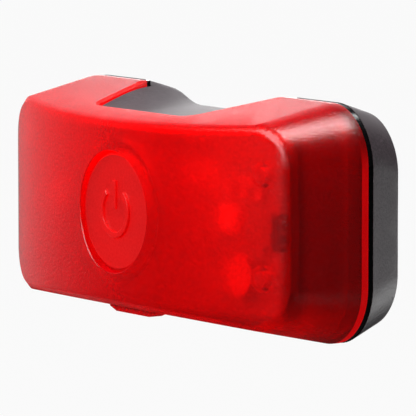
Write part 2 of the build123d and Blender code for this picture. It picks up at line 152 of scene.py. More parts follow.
def new_material(name: str) -> tuple[bpy.types.Material, bpy.types.NodeTree, bpy.types.Node]:
    """Makes an empty node material.

    Args:
        name: Common name of the real material.

    Returns:
        The material, its tree and its output node.
    """
    material = bpy.data.materials.new(name)
    material.use_nodes = True
    tree = material.node_tree
    tree.nodes.clear()
    return material, tree, add_node(tree, "ShaderNodeOutputMaterial")


class Grain(Enum):
    """How a moulded or rolled surface gets its fine relief."""

    SPARK_ERODED = "spark_eroded"
    SMOOTH = "smooth"
    BRUSHED = "brushed"

    def relief(self, tree: bpy.types.NodeTree, pitch: float) -> bpy.types.NodeSocket:
        """Adds the height pattern of the relief.

        Args:
            tree: Material tree to add to.
            pitch: Distance between neighbouring bumps, in metres.

        Returns:
            A height between zero and one.
        """
        place = add_node(tree, "ShaderNodeTexCoord").outputs["Object"]
        if self is Grain.BRUSHED:
            scale = (1.0, 1.0, BRUSHED_SCALE)
            stretched = add_node(tree, "ShaderNodeMapping", values={"Scale": scale}, links={"Vector": place})
            place = stretched.outputs["Vector"]
        detail = 1.0 if self is Grain.SMOOTH else 2.0
        noise = add_node(
            tree,
            "ShaderNodeTexNoise",
            values={"Scale": 1 / pitch, "Detail": detail, "Roughness": NOISE_ROUGHNESS},
            links={"Vector": place},
        )
        spread = add_node(
            tree,
            "ShaderNodeMapRange",
            values={"From Min": NOISE_SPAN[0], "From Max": NOISE_SPAN[1]},
            links={"Value": noise.outputs["Fac"]},
        )
        return spread.outputs["Result"]


def corner_depth(tree: bpy.types.NodeTree) -> bpy.types.NodeSocket:
    """Mask of the painted shade near the two upright front corners: a darkening of the wall's colour there.

    Args:
        tree: Material tree to add to.

    Returns:
        One at the corners, falling softly to zero.
    """
    place = add_node(tree, "ShaderNodeTexCoord").outputs["Object"]
    parts = add_node(tree, "ShaderNodeSeparateXYZ", links={"Vector": place})
    outwards = {"operation": "ABSOLUTE"}
    across = add_node(tree, "ShaderNodeMath", settings=outwards, links={0: parts.outputs["X"]})
    ends = (
        (across.outputs["Value"], CORNER_X),
        (parts.outputs["Y"], CORNER_FRONT_Y),
        (parts.outputs["Y"], CORNER_BACK_Y),
    )
    shares = [
        add_node(
            tree,
            "ShaderNodeMapRange",
            settings={"interpolation_type": "SMOOTHSTEP"},
            values={"From Min": low, "From Max": high},
            links={"Value": value},
        ).outputs["Result"]
        for value, (low, high) in ends
    ]
    times = {"operation": "MULTIPLY"}
    front = add_node(tree, "ShaderNodeMath", settings=times, links={0: shares[0], 1: shares[1]})
    both = add_node(tree, "ShaderNodeMath", settings=times, links={0: front.outputs["Value"], 1: shares[2]})
    return both.outputs["Value"]


@dataclass(frozen=True)
class ClearMoulding:
    """See-through moulding whose skin decides how sharply the eye sees what lies behind it.

    Attributes:
        name: Common name of the material.
        colour: Main colour of the wall, and of the light that it carries.
        second: Colour that the grain mottles it with.
        lamp_tint: Colour of the lamps' light behind the wall.
        ior: Index of refraction.
        roughness: Roughness of the skin.
        clearness: Share of the light that goes straight through where the wall is seen head on.
        grain: Kind of relief.
        grain_pitch: Distance between its bumps, in metres.
        grain_height: Height of its bumps, in metres.
        edge_light: Strength of the painted glow, an emission in the wall's colour that makes its ends look
            lit.
        lit_below: Z where that painted glow is gone and lower Z where it is full, or None where it doesn't
            fade.
        glow: Share of the wall that scatters the light from behind.
        milk: How much of the clearness is lost where the wall is seen at a grazing angle.
        grazing: Facing values where that loss starts and is full.
        deep: Colour of the painted shade at the lens's upright front corners.
    """

    name: str
    colour: str
    second: str
    lamp_tint: str
    ior: float = 1.58
    roughness: float = 0.25
    clearness: float = 0.965
    grain: Grain = Grain.SPARK_ERODED
    grain_pitch: float = LENS_GRAIN
    grain_height: float = 0.02 * MM
    edge_light: float = 0.0
    lit_below: tuple[float, float] | None = None
    glow: float = 0.24
    milk: float = 0.52
    grazing: tuple[float, float] = (0.34, 0.8)
    deep: str = "980208"

    def wall_colour(self, tree: bpy.types.NodeTree, height: bpy.types.NodeSocket) -> bpy.types.NodeSocket:
        """Adds the wall's colour, mottled with its relief and darkened with painted shade at the lens's
        corners.

        Args:
            tree: Material tree to add to.
            height: Height pattern of the relief.

        Returns:
            The colour.
        """
        mottled = add_node(
            tree,
            "ShaderNodeMix",
            settings={"data_type": "RGBA"},
            values={COLOUR_A: linear(self.colour), COLOUR_B: linear(self.second)},
            links={0: height},
        )
        # Painted shade: the wall's colour darkens towards the upright front corners
        corner_shaded = add_node(
            tree,
            "ShaderNodeMix",
            settings={"data_type": "RGBA"},
            values={COLOUR_B: linear(self.deep)},
            links={0: corner_depth(tree), COLOUR_A: mottled.outputs[COLOUR_OUT]},
        )
        return corner_shaded.outputs[COLOUR_OUT]

    def carried_light(self, tree: bpy.types.NodeTree) -> bpy.types.NodeSocket:
        """Adds the strength of the painted glow at the wall's end, faded over the heights in lit_below.

        Args:
            tree: Material tree to add to.

        Returns:
            The strength.
        """
        place = add_node(tree, "ShaderNodeTexCoord").outputs["Object"]
        level = add_node(tree, "ShaderNodeSeparateXYZ", links={"Vector": place}).outputs["Z"]
        gone, full = self.lit_below
        fade = add_node(
            tree,
            "ShaderNodeMapRange",
            settings={"interpolation_type": "SMOOTHSTEP"},
            values={"From Min": gone, "From Max": full, "To Max": self.edge_light},
            links={"Value": level},
        )
        return fade.outputs["Result"]

    def clear_share(self, tree: bpy.types.NodeTree) -> bpy.types.NodeSocket:
        """Adds the share of the light that goes straight through, less where the wall is seen edge on.

        Args:
            tree: Material tree to add to.

        Returns:
            The share.
        """
        facing = add_node(tree, "ShaderNodeLayerWeight", values={"Blend": 0.5}).outputs["Facing"]
        start, full = self.grazing
        share = add_node(
            tree,
            "ShaderNodeMapRange",
            settings={"interpolation_type": "SMOOTHSTEP"},
            values={
                "From Min": start,
                "From Max": full,
                "To Min": self.clearness,
                "To Max": self.clearness - self.milk,
            },
            links={"Value": facing},
        )
        return share.outputs["Result"]

    def material(self) -> bpy.types.Material:
        """Builds the material; lamps pass the wall with a tint, so that the inside is lit.

        Returns:
            The material.
        """
        material, tree, output = new_material(self.name)
        height = self.grain.relief(tree, self.grain_pitch)
        bump = add_node(
            tree, "ShaderNodeBump", values={"Distance": self.grain_height}, links={"Height": height}
        )
        colour = self.wall_colour(tree, height)
        varied = {"Base Color": colour, "Normal": bump.outputs["Normal"]}
        if self.milk:
            varied["Transmission Weight"] = self.clear_share(tree)
        # Painted glow: an emission in the wall's colour makes the wall look lit, though it is no lamp
        if self.lit_below:
            varied["Emission Strength"] = self.carried_light(tree)
        body = add_node(
            tree,
            "ShaderNodeBsdfPrincipled",
            values={
                "Roughness": self.roughness,
                "IOR": self.ior,
                "Transmission Weight": self.clearness,
                "Emission Color": linear(self.colour),
                "Emission Strength": self.edge_light,
            },
            links=varied,
        )
        inner = add_node(tree, "ShaderNodeBsdfTranslucent", links={"Color": colour})
        skin = add_node(
            tree,
            "ShaderNodeMixShader",
            values={0: self.glow},
            links={1: body.outputs["BSDF"], 2: inner.outputs["BSDF"]},
        )
        passing = add_node(tree, "ShaderNodeBsdfTransparent", values={"Color": linear(self.lamp_tint)})
        ray = add_node(tree, "ShaderNodeLightPath")
        both = add_node(
            tree,
            "ShaderNodeMixShader",
            links={0: ray.outputs["Is Shadow Ray"], 1: skin.outputs["Shader"], 2: passing.outputs["BSDF"]},
        )
        tree.links.new(both.outputs["Shader"], output.inputs["Surface"])
        return material


@dataclass(frozen=True)
class MouldedSurface:
    """Opaque moulded, rolled or coated surface with its own grain and slight mottling.

    Attributes:
        name: Common name of the material.
        colour: Colour in its low places.
        second: Colour in its high places.
        roughness: Middle of its roughness.
        grain: Kind of relief.
        pitch: Distance between its bumps, in metres.
        height: Height of its bumps, in metres.
        mottle: Width of the clouds in its colour, in metres.
        grain_share: How much of the change of colour follows the relief.
        cloud_share: How much of it follows the clouds.
        rough_spread: How far the roughness strays from its middle.
        metal: Whether it is bare metal.
    """

    name: str
    colour: str
    second: str
    roughness: float
    grain: Grain = Grain.SPARK_ERODED
    pitch: float = 0.25 * MM
    height: float = 0.02 * MM
    mottle: float = 3.0 * MM
    grain_share: float = 0.7
    cloud_share: float = 0.3
    rough_spread: float = 0.05
    metal: bool = False

    def mottled_colour(self, tree: bpy.types.NodeTree, height: bpy.types.NodeSocket) -> bpy.types.NodeSocket:
        """Adds the colour, mottled with the relief and with wider clouds.

        Args:
            tree: Material tree to add to.
            height: Height pattern of the relief.

        Returns:
            The colour.
        """
        place = add_node(tree, "ShaderNodeTexCoord").outputs["Object"]
        clouds = add_node(
            tree,
            "ShaderNodeTexNoise",
            values={"Scale": 1 / self.mottle, "Detail": 4.0},
            links={"Vector": place},
        )
        cloudy = add_node(
            tree,
            "ShaderNodeMath",
            settings={"operation": "MULTIPLY"},
            values={1: self.cloud_share},
            links={0: clouds.outputs["Fac"]},
        )
        both = add_node(
            tree,
            "ShaderNodeMath",
            settings={"operation": "MULTIPLY_ADD"},
            values={1: self.grain_share},
            links={0: height, 2: cloudy.outputs["Value"]},
        )
        shade = add_node(
            tree,
            "ShaderNodeMix",
            settings={"data_type": "RGBA"},
            values={COLOUR_A: linear(self.colour), COLOUR_B: linear(self.second)},
            links={0: both.outputs["Value"]},
        )
        return shade.outputs[COLOUR_OUT]

    def material(self) -> bpy.types.Material:
        """Builds the material from its colours, roughness and relief.

        Returns:
            The material.
        """
        material, tree, output = new_material(self.name)
        height = self.grain.relief(tree, self.pitch)
        bump = add_node(tree, "ShaderNodeBump", values={"Distance": self.height}, links={"Height": height})
        rough = add_node(
            tree,
            "ShaderNodeMapRange",
            values={
                "To Min": self.roughness - self.rough_spread,
                "To Max": self.roughness + self.rough_spread,
            },
            links={"Value": height},
        )
        body = add_node(
            tree,
            "ShaderNodeBsdfPrincipled",
            values={"Metallic": 1.0 if self.metal else 0.0},
            links={
                "Base Color": self.mottled_colour(tree, height),
                "Roughness": rough.outputs["Result"],
                "Normal": bump.outputs["Normal"],
            },
        )
        tree.links.new(body.outputs["BSDF"], output.inputs["Surface"])
        return material


Finish = ClearMoulding | MouldedSurface

# Polycarbonate from a spark-eroded tool: the satin skin blurs the board and holds a soft sheen. Its colour is
# darkened towards the upright front corners, a painted shade
LENS_RED = ClearMoulding("polycarbonate_red_satin", "d40416", "ff0820", "ff2018")
# Its wall in the notch: less clear, and with a painted glow, an emission that makes the wall look lit
LENS_EDGE = ClearMoulding(
    "polycarbonate_red_notch_painted_glow", "e60208", "f0040c", "ff2018", clearness=0.45, edge_light=0.5, milk=0.0
)
# Its rim: a painted glow, strongest on the upright ends and fading round the upper corners
LENS_RIM = ClearMoulding(
    "polycarbonate_red_rim_painted_glow",
    "e60208",
    "f0040c",
    "ff2018",
    clearness=0.92,
    edge_light=0.6,
    lit_below=(9.5 * MM, 5.0 * MM),
)
# Posts inside the lens: a faint painted glow that shows through the skin
LENS_POST = ClearMoulding("polycarbonate_red_post_painted_glow", "e4030c", "fe060f", "ff2018", edge_light=0.22)
# The button's milkier polycarbonate with a finer skin, so that the raised sign stands out
LENS_BUTTON = ClearMoulding(
    "polycarbonate_red_milky",
    "d81a1c",
    "e82426",
    "ff2018",
    clearness=0.55,
    glow=0.1,
    grain_height=0.006 * MM,
)
# Silicone cast over each light source: a bright, slightly cloudy bead
LED_DOME = ClearMoulding(
    "silicone_clear",
    "fff4e8",
    "fff8ee",
    "fffaf4",
    ior=1.41,
    roughness=0.2,
    clearness=0.5,
    grain=Grain.SMOOTH,
    deep="fff4e8",
)
# ABS from a spark-eroded tool: dark warm grey with pale flecks and a dry sheen
BASE_GREY = MouldedSurface(
    "abs_dark_grey_textured", "231c1f", "60545a", 0.46, pitch=BASE_GRAIN, height=0.012 * MM
)
# Silicone rubber from a polished tool: deep black with a sharp line of gloss
SEAL_BLACK = MouldedSurface(
    "silicone_rubber_black", "060606", "0a0a0b", 0.16, Grain.SMOOTH, height=0.004 * MM
)
# The same rubber without its black: pale, soft and even
SEAL_PALE = MouldedSurface(
    "silicone_translucent_pale", "c9c2bb", "d6d0ca", 0.4, Grain.SMOOTH, height=0.004 * MM
)
# Zinc over steel: cool bright grey. The marks of brushing and rolling on this and the next two metals are
# about 0.05 mm apart, too fine to show, so they are drawn 0.25 mm apart
SCREW_STEEL = MouldedSurface(
    "steel_zinc_plated", "b9babd", "c8c8c6", 0.3, Grain.BRUSHED, height=0.003 * MM, metal=True
)
# Nickel over drawn steel: the brightest metal, with the faint streaks of the strip
CELL_STEEL = MouldedSurface(
    "steel_nickel_plated", "c4c4c2", "d6d5d0", 0.26, Grain.BRUSHED, height=0.002 * MM, metal=True
)
# Nickel over rolled spring bronze: a little yellower than the cell
SPRING_STRIP = MouldedSurface(
    "spring_bronze_nickelled", "c9c2ae", "d8d0bb", 0.3, Grain.BRUSHED, height=0.002 * MM, metal=True
)
# Moulded polypropylene of the cell's ring: plain, dull black
INSULATOR = MouldedSurface("polypropylene_black", "141414", "1c1c1c", 0.5)
# Solder mask over glass fibre: smooth and pale, and what lights the lens from inside
BOARD_WHITE = MouldedSurface("solder_mask_white", "a4a29c", "b0aea8", 0.38, Grain.SMOOTH, height=0.004 * MM)
# Screen-printed ink: flat, lighter than the mask
INK_WHITE = MouldedSurface("ink_white", "d2cec8", "dad6d0", 0.6, Grain.SMOOTH, height=0.002 * MM)
# Epoxy moulded round the chip and the switch: near black, and matt from its filler, whose grain of about
# 0.05 mm is drawn coarser so that it shows
EPOXY_BLACK = MouldedSurface(
    "epoxy_mould_black", "161618", "1e1e20", 0.48, pitch=0.12 * MM, height=0.006 * MM
)
# Polyphthalamide of the light sources: the whitest pieces on the board
LED_WHITE = MouldedSurface(
    "polyphthalamide_white", "f2f0e8", "faf8f2", 0.35, Grain.SMOOTH, height=0.003 * MM
)
# Phosphor in silicone: flat strong yellow under the dome
PHOSPHOR = MouldedSurface("phosphor_yellow", "f2d040", "f8dc58", 0.5, pitch=0.05 * MM, height=0.004 * MM)
# Fired ceramics: dry and even, tan on the capacitors and white on the resistors. Their grains are a few
# hundredths of a millimetre, drawn 0.1 mm apart so that they show
CERAMIC_TAN = MouldedSurface("ceramic_tan", "a07850", "b08660", 0.45, pitch=0.1 * MM, height=0.004 * MM)
ALUMINA_WHITE = MouldedSurface("alumina_white", "e8e6e0", "f2f0ea", 0.4, pitch=0.1 * MM, height=0.003 * MM)
# Ferrite with its pale coating: chalky light grey
FERRITE_GREY = MouldedSurface("ferrite_grey", "dcdad6", "e6e4e0", 0.5, pitch=0.1 * MM, height=0.004 * MM)
# Tin that has run and set: bright, with a soft ripple
TIN = MouldedSurface("tin_plated", "d8d8d6", "e6e6e2", 0.28, Grain.SMOOTH, height=0.006 * MM, metal=True)
# Copper under clear enamel: warm orange metal
COPPER_WIRE = MouldedSurface(
    "copper_wire_enamelled", "e08050", "f09060", 0.3, Grain.SMOOTH, height=0.002 * MM, metal=True
)


class Part(Enum):
    """Every node of the frame with its body, the slot of its finish and the finish itself."""

    FRONT_LENS = ("front_lens", "lens_unit", "lens_plastic", LENS_RED)
    MODE_BUTTON = ("mode_button", "mode_button", "lens_plastic", LENS_BUTTON)
    BASE_HOUSING = ("base_housing", "base", "base_plastic", BASE_GREY)
    HELMET_CLIP = ("helmet_clip", "base", "base_plastic", BASE_GREY)
    LENS_GASKET = ("lens_gasket", "base", "seal_rubber", SEAL_BLACK)
    BUTTON_SEAL = ("button_seal", "lens_unit", "seal_silicone", SEAL_PALE)
    CLIP_SCREWS = ("clip_screws", "base", "screw_steel", SCREW_STEEL)
    BOARD_SCREWS = ("board_screws", "lens_unit", "screw_steel", SCREW_STEEL)
    CELL_CAN = ("cell_can", "base", "cell_steel", CELL_STEEL)
    CELL_CAP = ("cell_cap", "base", "cell_steel", CELL_STEEL)
    CELL_SEAL = ("cell_seal", "base", "insulator", INSULATOR)
    CELL_STRIP = ("cell_strip", "base", "contact_metal", SPRING_STRIP)
    CONTACT_NEGATIVE = ("contact_negative", "lens_unit", "contact_metal", SPRING_STRIP)
    CONTACT_POSITIVE = ("contact_positive", "lens_unit", "contact_metal", SPRING_STRIP)
    CIRCUIT_BOARD = ("circuit_board", "lens_unit", "board", BOARD_WHITE)
    SWITCH_BODY = ("switch_body", "lens_unit", "component_black", EPOXY_BLACK)
    SWITCH_FRAME = ("switch_frame", "lens_unit", "contact_metal", SPRING_STRIP)
    SWITCH_PLUNGER = ("switch_plunger", "switch_plunger", "component_black", EPOXY_BLACK)
    LED_LEFT = ("led_left", "lens_unit", "led_package", LED_WHITE)
    LED_RIGHT = ("led_right", "lens_unit", "led_package", LED_WHITE)
    LED_DOME_LEFT = ("led_dome_left", "lens_unit", "led_dome", LED_DOME)
    LED_DOME_RIGHT = ("led_dome_right", "lens_unit", "led_dome", LED_DOME)
    DRIVER_CHIP = ("driver_chip", "lens_unit", "component_black", EPOXY_BLACK)
    RESISTORS = ("resistors", "lens_unit", "resistor_ceramic", ALUMINA_WHITE)
    CAPACITORS = ("capacitors", "lens_unit", "capacitor_ceramic", CERAMIC_TAN)
    INDUCTOR = ("inductor", "lens_unit", "ferrite", FERRITE_GREY)

    @property
    def node(self) -> str:
        """Name of the frame's node."""
        return self.value[0]

    @property
    def body(self) -> str:
        """Body that carries the node."""
        return self.value[1]

    @property
    def slot(self) -> str:
        """Material slot in the record."""
        return self.value[2]

    @property
    def finish(self) -> Finish:
        """Finish of the node's surface."""
        return self.value[3]


@dataclass
class MaterialShelf:
    """Makes each finish's material once and hands it out."""

    made: dict[str, bpy.types.Material] = field(default_factory=dict)

    def get(self, finish: Finish) -> bpy.types.Material:
        """Returns the material of a finish, made on first use.

        Args:
            finish: The finish.

        Returns:
            Its material.
        """
        if finish.name not in self.made:
            self.made[finish.name] = finish.material()
        return self.made[finish.name]


@dataclass(frozen=True)
class Accent:
    """Second finish for the faces of a piece that pass a test on their middle and their normal."""

    finish: Finish
    chosen: Callable[[Vector, Vector], bool]


def at_rim(middle: Vector, normal: Vector) -> bool:
    """Tells whether a face of the lens is on the outside of its rim band, at an end or a corner.

    Args:
        middle: Middle of the face.
        normal: Normal of the face.

    Returns:
        True on the band's upright ends and round its corners.
    """
    depth = -middle.y - RIM_Y
    on_band = -HAIR < depth < RIM_DEPTH and abs(normal.y) < RIM_TILT
    return on_band and middle.x * normal.x > 0 and normal.z < RIM_TOP


def at_notch(middle: Vector, normal: Vector) -> bool:
    """Tells whether a face of the lens is a wall of its notch.

    Args:
        middle: Middle of the face.
        normal: Normal of the face.

    Returns:
        True on the notch's walls.
    """
    depth = -middle.y - RIM_Y
    in_notch = middle.z > NOTCH_FLOOR_Z and abs(middle.x) < NOTCH_HALF_WIDTH and depth < NOTCH_DEPTH
    return in_notch and abs(normal.z) < NOTCH_TILT


def at_post(middle: Vector, normal: Vector) -> bool:
    """Tells whether a face of the lens belongs to the side of a post that the board is screwed to.

    Args:
        middle: Middle of the face.
        normal: Normal of the face.

    Returns:
        True on the posts' sides.
    """
    height = POST_HIGH_Z if middle.z > 0 else POST_LOW_Z
    away = math.hypot(abs(middle.x) - POST_X, middle.z - height)
    return away < POST_RADIUS and abs(normal.y) < POST_TILT


def at_chip_leg(middle: Vector, normal: Vector) -> bool:
    """Tells whether a face belongs to a leg of the driver chip."""
    return abs(middle.x - CHIP_X) > CHIP_HALF + HAIR


def finished(
    name: str, mesh: bpy.types.Mesh, body: str, replaced: str | None = None
) -> bpy.types.Object:
    """Puts a finished mesh into the scene on its body.

    Args:
        name: Name of the piece.
        mesh: Closed mesh in the frame's axes.
        body: Body that carries it.
        replaced: Node of the frame that the piece stands for.

    Returns:
        The new object.
    """
    piece = bpy.data.objects.new(f"{name}_finished", mesh)
    bpy.context.scene.collection.objects.link(piece)
    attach(piece, body)
    if replaced:
        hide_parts(replaced)
    LOG.info("%s rides on %s with %d faces", piece.name, body, len(mesh.polygons))
    return piece


@dataclass
class SmoothPiece:
    """Copy of a frame node with its facets joined and its curved faces shaded smooth."""

    part: Part
    shelf: MaterialShelf
    accents: tuple[Accent, ...] = ()
    crease: float = math.radians(42)
    flat_weight: int = 90

    def build(self, node: bpy.types.Object) -> bpy.types.Object:
        """Builds the piece and puts it in the node's place.

        Args:
            node: The frame's own object.

        Returns:
            The finished piece.
        """
        mesh = node.data.copy()
        mesh.name = f"{self.part.node}_skin"
        shape = bmesh.new()
        shape.from_mesh(mesh)
        bmesh.ops.remove_doubles(shape, verts=shape.verts, dist=MERGE)
        for face in shape.faces:
            face.smooth = True
            for index, accent in enumerate(self.accents, start=1):
                if accent.chosen(face.calc_center_median(), face.normal):
                    face.material_index = index
        for edge in shape.edges:
            edge.smooth = edge.is_manifold and edge.calc_face_angle(0.0) < self.crease
        mesh.materials.clear()
        for finish in (self.part.finish, *(accent.finish for accent in self.accents)):
            mesh.materials.append(self.shelf.get(finish))
        shape.to_mesh(mesh)
        shape.free()
        piece = finished(self.part.node, mesh, self.part.body, self.part.node)
        weights = piece.modifiers.new("even_normals", "WEIGHTED_NORMAL")
        weights.keep_sharp = True
        weights.weight = self.flat_weight
        return piece


def islands(node: bpy.types.Object) -> list[tuple[Vector, Vector]]:
    """Finds the separate solids in a frame node.

    Args:
        node: The frame's own object.

    Returns:
        The low and the high corner of each solid's box, from left to right and from low to high.
    """
    shape = bmesh.new()
    shape.from_mesh(node.data)
    bmesh.ops.remove_doubles(shape, verts=shape.verts, dist=MERGE)
    left, boxes = set(shape.verts), []
    while left:
        group, edge = set(), {left.pop()}
        while edge:
            group |= edge
            edge = {other.other_vert(vert) for vert in edge for other in vert.link_edges} - group
        left -= group
        spots = [vert.co for vert in group]
        boxes.append((Vector(map(min, zip(*spots))), Vector(map(max, zip(*spots)))))
    shape.free()
    return sorted(boxes, key=lambda box: (round(box[0].x, LEVEL_DIGITS), round(box[0].z, LEVEL_DIGITS)))


def block(size: Vector, middle: Vector = Vector()) -> bpy.types.Mesh:
    """Makes a closed box.

    Args:
        size: Length of its sides.
        middle: Its middle.

    Returns:
        The mesh.
    """
    mesh = bpy.data.meshes.new("block")
    shape = bmesh.new()
    bmesh.ops.create_cube(shape, size=1.0)
    for vert in shape.verts:
        vert.co = Vector(a * b for a, b in zip(vert.co, size)) + middle
    shape.to_mesh(mesh)
    shape.free()
    return mesh


def turned(profile: list[tuple[float, float]], steps: int = 48) -> bpy.types.Mesh:
    """Makes a closed solid turned round the Y axis.

    Args:
        profile: Radius and Y of each point, from the front to the back, without the two middles.
        steps: Number of steps round the axis.

    Returns:
        The mesh, with its curved faces smooth.
    """
    mesh = bpy.data.meshes.new("turned")
    shape = bmesh.new()
    angles = [2 * math.pi * i / steps for i in range(steps)]
    rings = [
        [shape.verts.new((radius * math.cos(t), y, radius * math.sin(t))) for t in angles]
        for radius, y in profile
    ]
    for low, high in zip(rings, rings[1:]):
        for i in range(steps):
            shape.faces.new((low[i], low[(i + 1) % steps], high[(i + 1) % steps], high[i]))
    shape.faces.new(reversed(rings[0]))
    shape.faces.new(rings[-1])
    bmesh.ops.recalc_face_normals(shape, faces=shape.faces)
    for face in shape.faces:
        face.smooth = len(face.verts) == 4
    for edge in shape.edges:
        edge.smooth = edge.calc_face_angle(0.0) < TURNED_CREASE
    shape.to_mesh(mesh)
    shape.free()
    return mesh


@dataclass
class Repeated:
    """One small solid set at several places by a node group and baked to one plain mesh.

    Attributes:
        name: Name of the piece.
        solid: Mesh that repeats, round the origin.
        places: Where it stands.
        finish: Its finish.
        body: Body that carries it.
        slot: Material slot in the record; not used.
        replaced: Node of the frame that it stands for.
        turn: Farthest turn about Y to either side, in radians.
        seed: Seed of the random turns.
    """

    name: str
    solid: bpy.types.Mesh
    places: list[Vector]
    finish: Finish
    body: str
    slot: str
    replaced: str | None = None
    turn: float = 0.0
    seed: int = 7

    def group(self, solid: bpy.types.Object, material: bpy.types.Material) -> bpy.types.GeometryNodeTree:
        """Builds the node group that sets the solid on each point with a random turn.

        Args:
            solid: Object that holds the solid.
            material: Material of the result.

        Returns:
            The group, whose input Turn is the farthest turn about Y.
        """
        tree = bpy.data.node_groups.new(f"repeat_{self.name}", "GeometryNodeTree")
        tree.interface.new_socket("Geometry", in_out="INPUT", socket_type="NodeSocketGeometry")
        tree.interface.new_socket("Turn", in_out="INPUT", socket_type="NodeSocketFloat")
        tree.interface.new_socket("Geometry", in_out="OUTPUT", socket_type="NodeSocketGeometry")
        given = add_node(tree, "NodeGroupInput").outputs
        source = add_node(tree, "GeometryNodeObjectInfo", values={"Object": solid})
        least, most = [
            add_node(
                tree,
                "ShaderNodeVectorMath",
                settings={"operation": "SCALE"},
                values={0: axis},
                links={"Scale": given["Turn"]},
            ).outputs["Vector"]
            for axis in ((0.0, -1.0, 0.0), (0.0, 1.0, 0.0))
        ]
        angle = add_node(
            tree,
            "FunctionNodeRandomValue",
            settings={"data_type": "FLOAT_VECTOR"},
            values={"Seed": self.seed},
            links={"Min": least, "Max": most},
        )
        placed = add_node(
            tree,
            "GeometryNodeInstanceOnPoints",
            links={
                "Points": given["Geometry"],
                "Instance": source.outputs["Geometry"],
                "Rotation": angle.outputs["Value"],
            },
        )
        real = add_node(tree, "GeometryNodeRealizeInstances", links={"Geometry": placed.outputs["Instances"]})
        shown = add_node(
            tree,
            "GeometryNodeSetMaterial",
            values={"Material": material},
            links={"Geometry": real.outputs["Geometry"]},
        )
        add_node(tree, "NodeGroupOutput", links={0: shown.outputs["Geometry"]})
        return tree

    def build(self, shelf: MaterialShelf) -> bpy.types.Object:
        """Bakes the repeated solids and puts them on their body.

        Args:
            shelf: Where the materials are.

        Returns:
            The finished piece.
        """
        solid = bpy.data.objects.new("solid", self.solid)
        spots = bpy.data.meshes.new("spots")
        spots.from_pydata(self.places, [], [])
        holder = bpy.data.objects.new("holder", spots)
        for item in (solid, holder):
            bpy.context.scene.collection.objects.link(item)
        repeat = holder.modifiers.new("repeat", "NODES")
        repeat.node_group = self.group(solid, shelf.get(self.finish))
        repeat[repeat.node_group.interface.items_tree["Turn"].identifier] = self.turn
        graph = bpy.context.evaluated_depsgraph_get()
        mesh = bpy.data.meshes.new_from_object(holder.evaluated_get(graph), depsgraph=graph)
        mesh.name = f"{self.name}_skin"
        for item in (solid, holder):
            bpy.data.objects.remove(item)
        return finished(self.name, mesh, self.body, self.replaced)


@dataclass
class Button:
    """Push button with a raised on-off sign, a ring with a bar in its gap, in the middle of its face.

    Attributes:
        shelf: Where the materials are.
        ring_radius: Radius of the ring, to the middle of its stroke.
        stroke: Width of the strokes.
        relief: Height of the sign over the face.
        sunk: How far the sign goes into the face.
        gap: Half the ring's gap, as an angle.
        bar_low: Lower end of the bar, above the ring's middle.
        bar_high: Upper end of the bar.
        softening: Share of the relief that the front edges are rounded by.
        steps: Number of steps round the ring.
    """

    shelf: MaterialShelf
    ring_radius: float = 2.5 * MM
    stroke: float = 0.62 * MM
    relief: float = 0.28 * MM
    sunk: float = 0.05 * MM
    gap: float = math.radians(38)
    bar_low: float = 0.35 * MM
    bar_high: float = 3.3 * MM
    softening: float = 1 / 3
    steps: int = 56

    def outline(self) -> list[list[tuple[float, float]]]:
        """Draws the ring, open at the top, and the bar in its gap.

        Returns:
            The X and Z of the points round the ring's stroke and round the bar.
        """
        half = self.stroke / 2
        sweep = 2 * math.pi - 2 * self.gap
        angles = [math.pi / 2 + self.gap + sweep * i / self.steps for i in range(self.steps + 1)]
        outer, inner = [
            [(radius * math.cos(t), radius * math.sin(t)) for t in angles]
            for radius in (self.ring_radius + half, self.ring_radius - half)
        ]
        bar = [(-half, self.bar_low), (half, self.bar_low), (half, self.bar_high), (-half, self.bar_high)]
        return [[*outer, *reversed(inner)], bar]

    def sign(self, face_y: float) -> bpy.types.Mesh:
        """Closed raised strokes with a softened front edge.

        Args:
            face_y: Y of the button's face.

        Returns:
            The mesh of the sign.
        """
        mesh = bpy.data.meshes.new("sign")
        shape = bmesh.new()
        for outline in self.outline():
            back = [shape.verts.new((x, face_y + self.sunk, z)) for x, z in outline]
            face = shape.faces.new(back)
            moved = bmesh.ops.extrude_face_region(shape, geom=[face])["geom"]
            for item in moved:
                if isinstance(item, bmesh.types.BMVert):
                    item.co.y -= self.relief + self.sunk
        bmesh.ops.recalc_face_normals(shape, faces=shape.faces)
        front = [e for e in shape.edges if all(v.co.y < face_y - self.relief / 2 for v in e.verts)]
        rounding = self.relief * self.softening
        bmesh.ops.bevel(shape, geom=front, offset=rounding, segments=2, affect="EDGES", profile=0.5)
        shape.to_mesh(mesh)
        shape.free()
        mesh.materials.append(self.shelf.get(LENS_BUTTON))
        return mesh

    def build(self, nodes: dict[str, bpy.types.Object]) -> None:
        """Builds the button and its sign.

        Args:
            nodes: The frame's objects, by node.
        """
        node = nodes[Part.MODE_BUTTON.node]
        SmoothPiece(Part.MODE_BUTTON, self.shelf).build(node)
        face_y = min(vert.co.y for vert in node.data.vertices)
        finished("button_sign", self.sign(face_y), Part.MODE_BUTTON.body)


